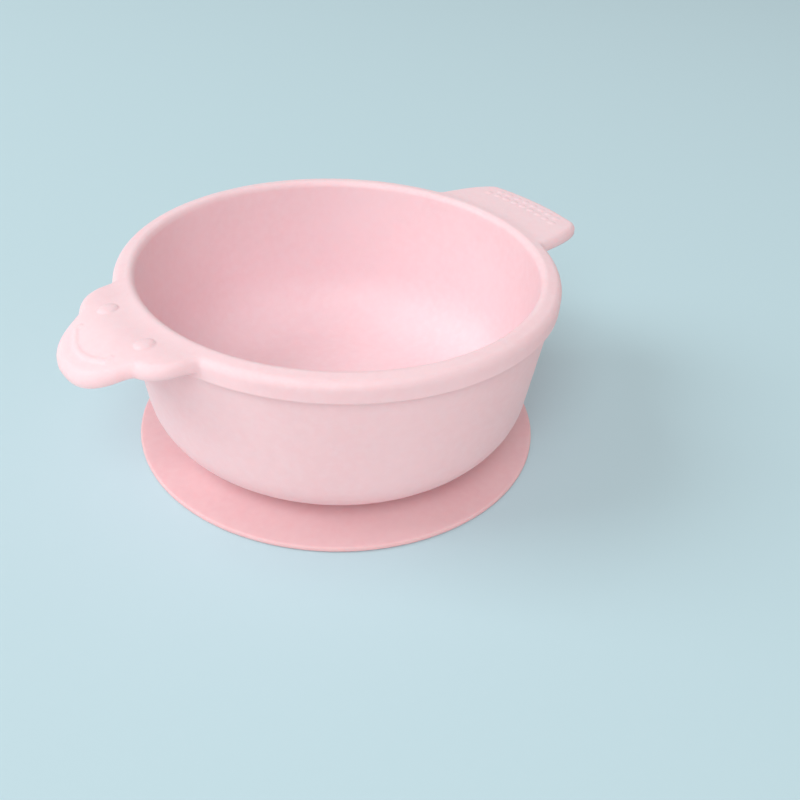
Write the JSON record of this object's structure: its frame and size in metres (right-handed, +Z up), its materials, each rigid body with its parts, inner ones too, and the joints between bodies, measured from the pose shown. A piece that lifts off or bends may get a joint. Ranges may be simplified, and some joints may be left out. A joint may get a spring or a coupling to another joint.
{
  "type": "suction bowl",
  "caption": "Soft silicone feeding bowl with an animal-head handle, a fan-shaped tail handle and a round suction base that grips a table.",
  "frame": {"origin": "on the table under the middle of the bowl", "axes": "+Z up, +X from the head handle to the tail handle, +Y to the left of someone looking along +X"},
  "size_m": [0.1624, 0.125, 0.0552],
  "materials": {
    "bowl_silicone": "satin moulded silicone, pale pink",
    "base_silicone": "satin moulded silicone, pale pink"
  },
  "bodies": {
    "suction_base": {"suction_base": "base_silicone"},
    "bowl": {"bowl": "bowl_silicone"}
  },
  "joints": [
    {"name": "press_to_seal", "type": "slide", "parent": "suction_base", "child": "bowl", "axis": [0, 0, 1], "range_m": [-0.001, 0.0025], "stiffness_N_per_m": 12000, "deforming": ["suction_base"]}
  ]
}
